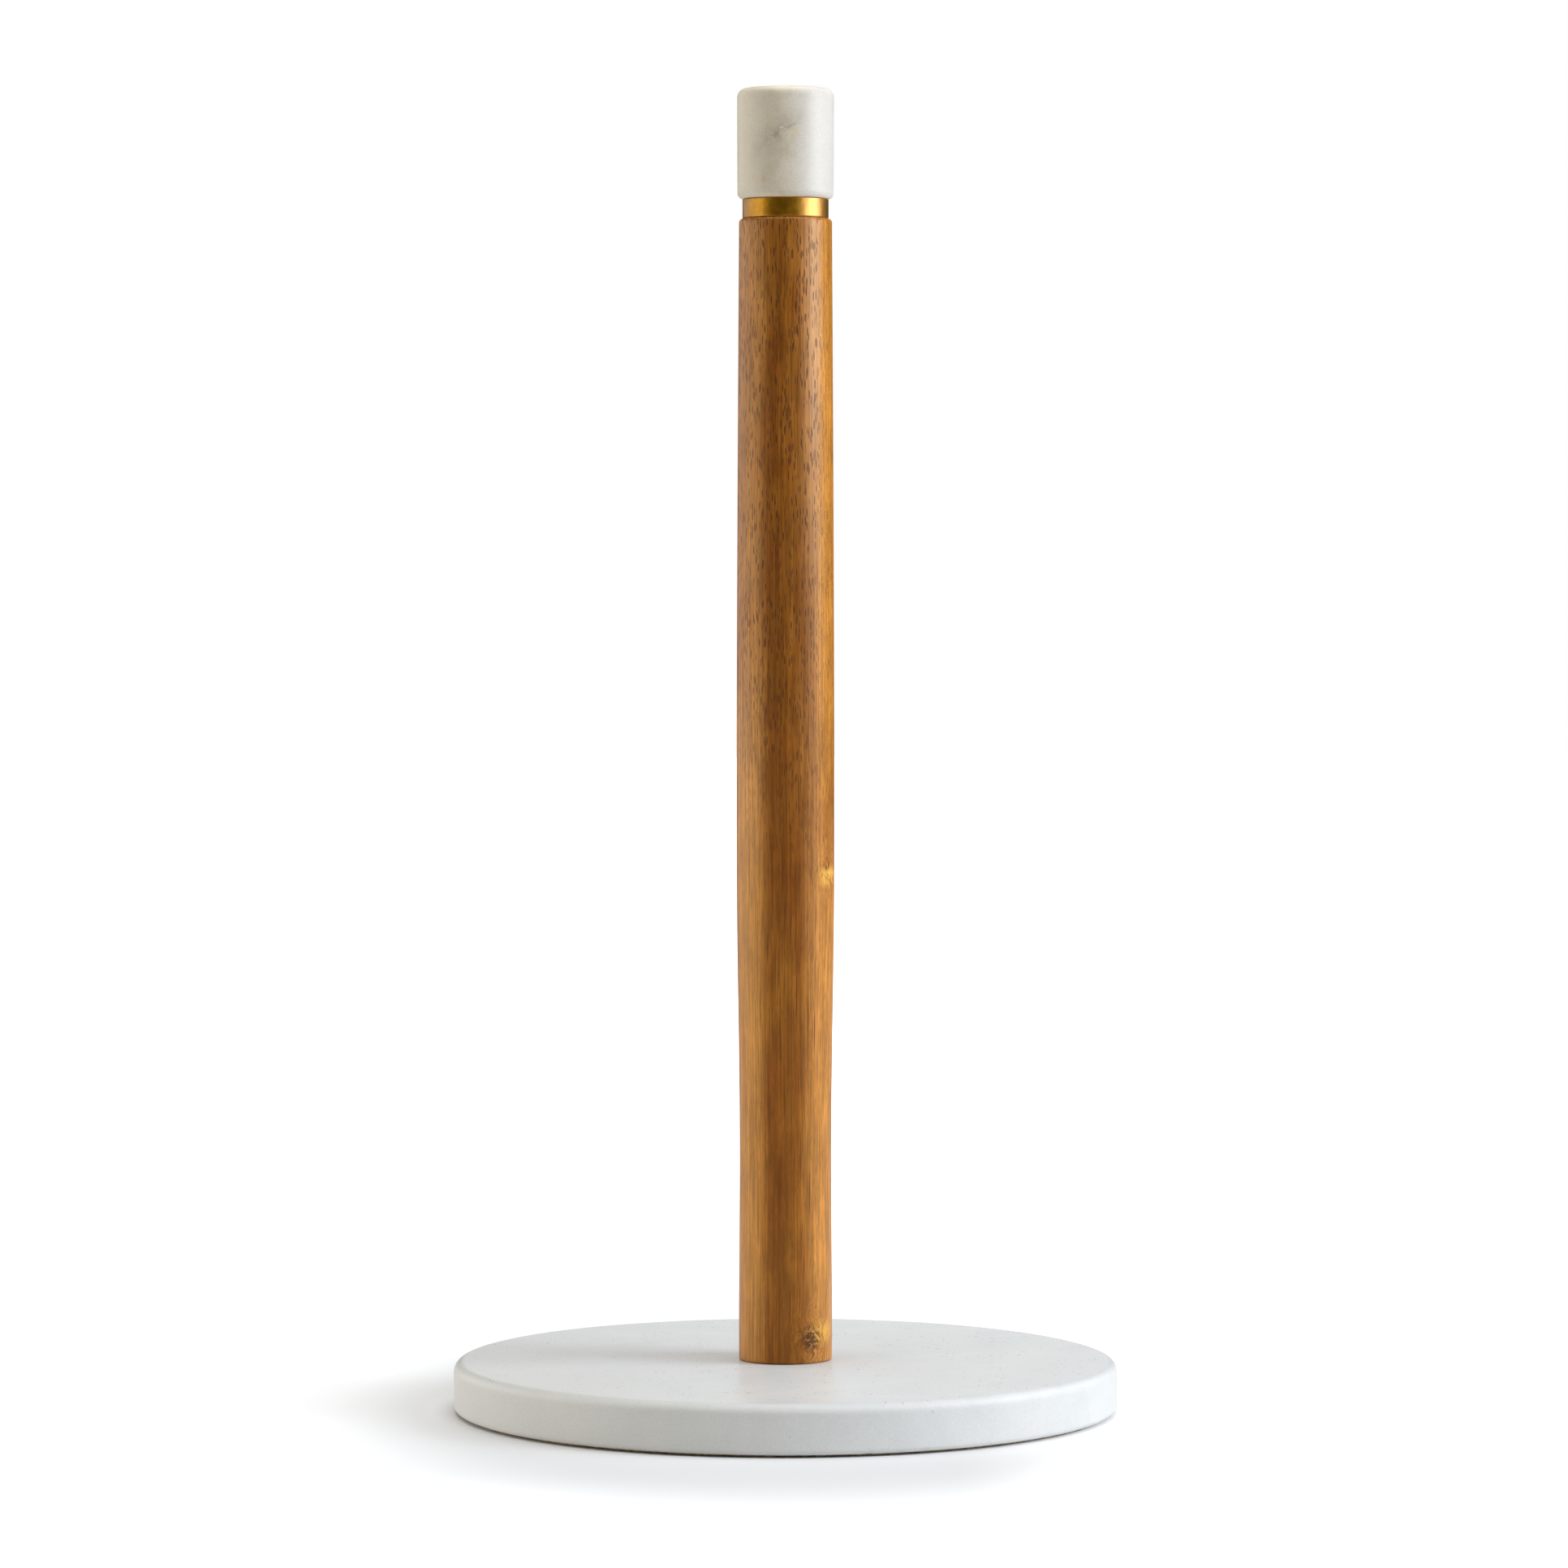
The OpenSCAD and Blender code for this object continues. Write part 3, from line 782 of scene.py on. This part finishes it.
def insert_brass_material():
    """Plain machined brass with cutting marks."""
    s = Shader("machined_brass")
    p = s.place
    marks = s.noise(s.stretch(p, 0.2, 0.2, 1), 0.00015, 2, 0.6)
    dull = s.noise(p, 0.003, 3)
    colour = s.ramp(dull, [(0.3, (0.52, 0.35, 0.11)), (0.7, (0.70, 0.50, 0.19))])
    s.set(Base_Color=colour, Metallic=1.0, Roughness=s.ease(marks, 0.3, 0.7, 0.28, 0.45))
    s.set(Normal=s.bump(marks, 0.00001, 0.4))
    return s.material


def steel_material():
    """Zinc plated steel with a faint blue and yellow cast."""
    s = Shader("zinc_steel")
    p = s.place
    cast = s.noise(p, 0.004, 3)
    grain = s.noise(p, 0.0003, 2, 0.7)
    colour = s.ramp(cast, [(0.3, (0.50, 0.52, 0.56)), (0.6, (0.60, 0.60, 0.60)), (0.8, (0.62, 0.60, 0.53))])
    s.set(Base_Color=colour, Metallic=1.0, Roughness=s.ease(grain, 0.3, 0.7, 0.26, 0.42))
    s.set(Normal=s.bump(grain, 0.00001, 0.4))
    return s.material


def fibre_material():
    """Red-brown vulcanised fibre."""
    s = Shader("vulcanised_fibre")
    flecks = s.noise(s.place, 0.0006, 3, 0.7)
    colour = s.ramp(flecks, [(0.3, (0.17, 0.045, 0.025)), (0.7, (0.27, 0.085, 0.045))])
    s.set(Base_Color=colour, Roughness=0.75, Normal=s.bump(flecks, 0.00005, 0.5))
    return s.material


def cork_material():
    """Pressed cork: tan granules with darker bark bits between them."""
    s = Shader("cork")
    p = s.place
    granule, bark_brown = 0.0022, (0.20, 0.10, 0.05)
    pressed = s.warped(p, 0.001, 0.0004)
    tone = s.node("ShaderNodeSeparateColor", {0: s.cells(pressed, granule, "Color")})
    colour = s.ramp(tone, [
        (0.0, (0.26, 0.14, 0.065)),
        (0.2, (0.46, 0.27, 0.14)),
        (0.7, (0.56, 0.36, 0.20)),
        (1.0, (0.64, 0.43, 0.25)),
    ])
    gap = s.ease(s.cells(pressed, granule, feature="DISTANCE_TO_EDGE"), 0.01, 0.07, 1, 0)
    colour = s.mix(s.times(gap, 0.5), colour, bark_brown)
    fine = s.noise(p, 0.0004, 3, 0.7)
    relief = s.minus(s.times(fine, 0.5), gap)
    s.set(Base_Color=colour, Roughness=s.ease(fine, 0.3, 0.7, 0.8, 0.95))
    s.set(Normal=s.bump(relief, 0.0001, 0.7))
    return s.material


# ---------------------------------------------------------------- stage
def make_floor():
    """A pale floor with a painted glow, seen only by the camera, that lifts it to pure white away from the
    holder and lightens its shadows on the right and at the front.
    """
    size = 6.0
    corners = [(-size, -size, 0), (size, -size, 0), (size, size, 0), (-size, size, 0)]
    mesh = bpy.data.meshes.new("floor")
    mesh.from_pydata(corners, [], [(0, 1, 2, 3)])
    floor = bpy.data.objects.new("floor", mesh)
    bpy.context.scene.collection.objects.link(floor)
    s = Shader("pale_floor")
    grey, white = (0.76, 0.76, 0.76, 1), (1, 1, 1, 1)
    away = s.distance(s.stretch(s.place, 1.6, 1, 1))
    to_right, to_front = s.along(s.place, (1, 0, 0)), s.along(s.place, (0, -1, 0))
    glow = s.plus(s.ease(away, 0.13, 0.21, 0, 0.27), s.ease(away, 0.2, 0.4))
    # Painted light: extra glow to the right and at the front clears the floor's shadows there.
    glow = s.plus(glow, s.ease(to_right, 0.04, 0.088, 0, 0.27))
    glow = s.plus(glow, s.ease(to_front, 0.11, 0.17, 0, 0.09))
    seen = s.node("ShaderNodeLightPath", output="Is Camera Ray")
    s.set(Base_Color=grey, Roughness=0.8, Specular_IOR_Level=0.0)
    s.set(Emission_Color=white, Emission_Strength=s.times(glow, seen))
    mesh.materials.append(s.material)


def softbox(name, azimuth, distance, bottom, top, width, radiance, tint=(1, 1, 1)):
    """An upright panel of light, at an angle round from the camera's side, facing the holder."""
    turn = math.radians(azimuth)
    away = Vector((math.sin(turn), -math.cos(turn), 0))
    lamp = bpy.data.lights.new(name, "AREA")
    lamp.shape = "RECTANGLE"
    lamp.size, lamp.size_y = width, top - bottom
    lamp.energy = math.pi * width * (top - bottom) * radiance
    lamp.color = tint
    light = bpy.data.objects.new(name, lamp)
    light.location = away * distance + UP * (top + bottom) / 2
    light.rotation_euler = away.to_track_quat("Z", "Y").to_euler()
    light.visible_camera = False
    bpy.context.scene.collection.objects.link(light)
    return light


def make_lights():
    """Two cool keys at the right, a warm fill at the left, two panels behind and one overhead."""
    cool, warm = (0.94, 1.0, 1.08), (1.0, 0.97, 0.87)
    softbox("key_low", 77, 1.0, 0.26, 0.5, 0.74, 8.8, cool)
    softbox("key_high", 80, 1.0, 0.5, 1.3, 0.6, 4.7, cool)
    softbox("fill_left", -87, 1.0, 0.0, 0.65, 1.0, 1.75, warm)
    softbox("backdrop_left", -130, 2.0, 0.0, 1.1, 1.4, 1.0)
    softbox("backdrop", 180, 1.4, 0.02, 0.62, 0.5, 0.75)
    size, height = 1.6, 1.6
    overhead = softbox("overhead", 0, 0, 0, size, size, 2.8)
    overhead.location = UP * height
    overhead.rotation_euler = (0, 0, 0)


def make_world():
    """Pure white behind the holder for the camera, and dark otherwise."""
    world = bpy.data.worlds.new("studio")
    world.use_nodes = True
    tree = world.node_tree
    background = tree.nodes["Background"]
    background.inputs["Color"].default_value = (1, 1, 1, 1)
    seen = tree.nodes.new("ShaderNodeLightPath")
    tree.links.new(seen.outputs["Is Camera Ray"], background.inputs["Strength"])
    bpy.context.scene.world = world


def make_camera():
    """The photo's camera, from the fit to its outlines."""
    tilt_down = 1.94
    data = bpy.data.cameras.new("camera")
    data.sensor_width = 36
    data.lens = 134.33
    camera = bpy.data.objects.new("camera", data)
    camera.location = (-0.0004, -1.566, 0.2212)
    camera.rotation_euler = (math.radians(90 - tilt_down), 0, 0)
    bpy.context.scene.collection.objects.link(camera)
    bpy.context.scene.camera = camera


base_marble, knob_marble = base_marble_material(), knob_marble_material()
acacia, satin_brass, machined_brass = acacia_material(), brass_material(), insert_brass_material()
steel, fibre, cork = steel_material(), fibre_material(), cork_material()

place(make_slab(), "base", "base_slab", base_marble)
place(make_pad(), "base", "base_pad", cork)
fibre_disc = make_washer("fibre_disc", fibre_z, fibre_top, fibre_r, 0.08 * MM)
steel_disc = make_washer("steel_disc", flat_z, flat_top, flat_r, 0.2 * MM)
place(fibre_disc, "base", "fibre_washer", fibre)
place(steel_disc, "base", "flat_washer", steel)
place(make_spring_washer(), "base", "spring_washer", steel)
place(make_bolt(), "bolt", "base_bolt", steel)
place(make_post(), "post", "post", acacia)
insert_foot = make_insert("insert_foot", foot_insert_z, foot_insert_top)
insert_top = make_insert("insert_top", top_insert_top, top_insert_z)
place(insert_foot, "post", "foot_insert", machined_brass)
place(insert_top, "post", "top_insert", machined_brass)
place(make_ring(), "post", "ferrule", satin_brass)
place(make_stud(), "stud", "knob_stud", steel)
place(make_knob(), "knob", "knob", knob_marble)

make_floor()
make_world()
make_camera()
make_lights()
bpy.context.scene.view_settings.view_transform = "Standard"
